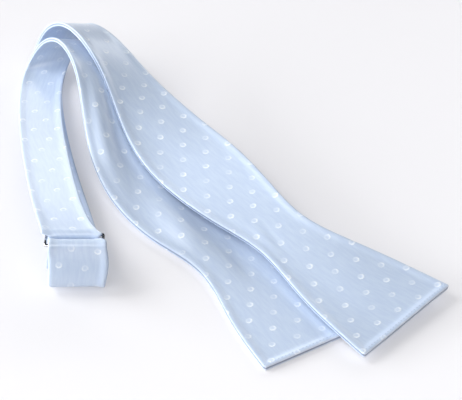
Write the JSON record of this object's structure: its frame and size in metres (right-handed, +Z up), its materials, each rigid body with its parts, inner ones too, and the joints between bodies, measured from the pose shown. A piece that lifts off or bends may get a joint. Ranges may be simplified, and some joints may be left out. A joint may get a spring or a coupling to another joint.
{
  "type": "self-tie bow tie",
  "caption": "Untied self-tie bow tie of dotted satin, folded in half at the centre back, with butterfly blades, a narrow band and a metal slide.",
  "frame": {"origin": "middle of the laid tie's outline, seen from above, on the surface that it lies on", "axes": "+Z up from that surface, +Y from the blade ends towards the arches of the turned-over band, +X towards the upper blade"},
  "size_m": [0.2302, 0.2526, 0.0398],
  "materials": {
    "satin": "light blue satin with small white woven dots",
    "slide_metal": "polished"
  },
  "bodies": {
    "root": {"lower_half": "satin", "upper_half": "satin", "adjuster_slide": "slide_metal"}
  },
  "joints": []
}
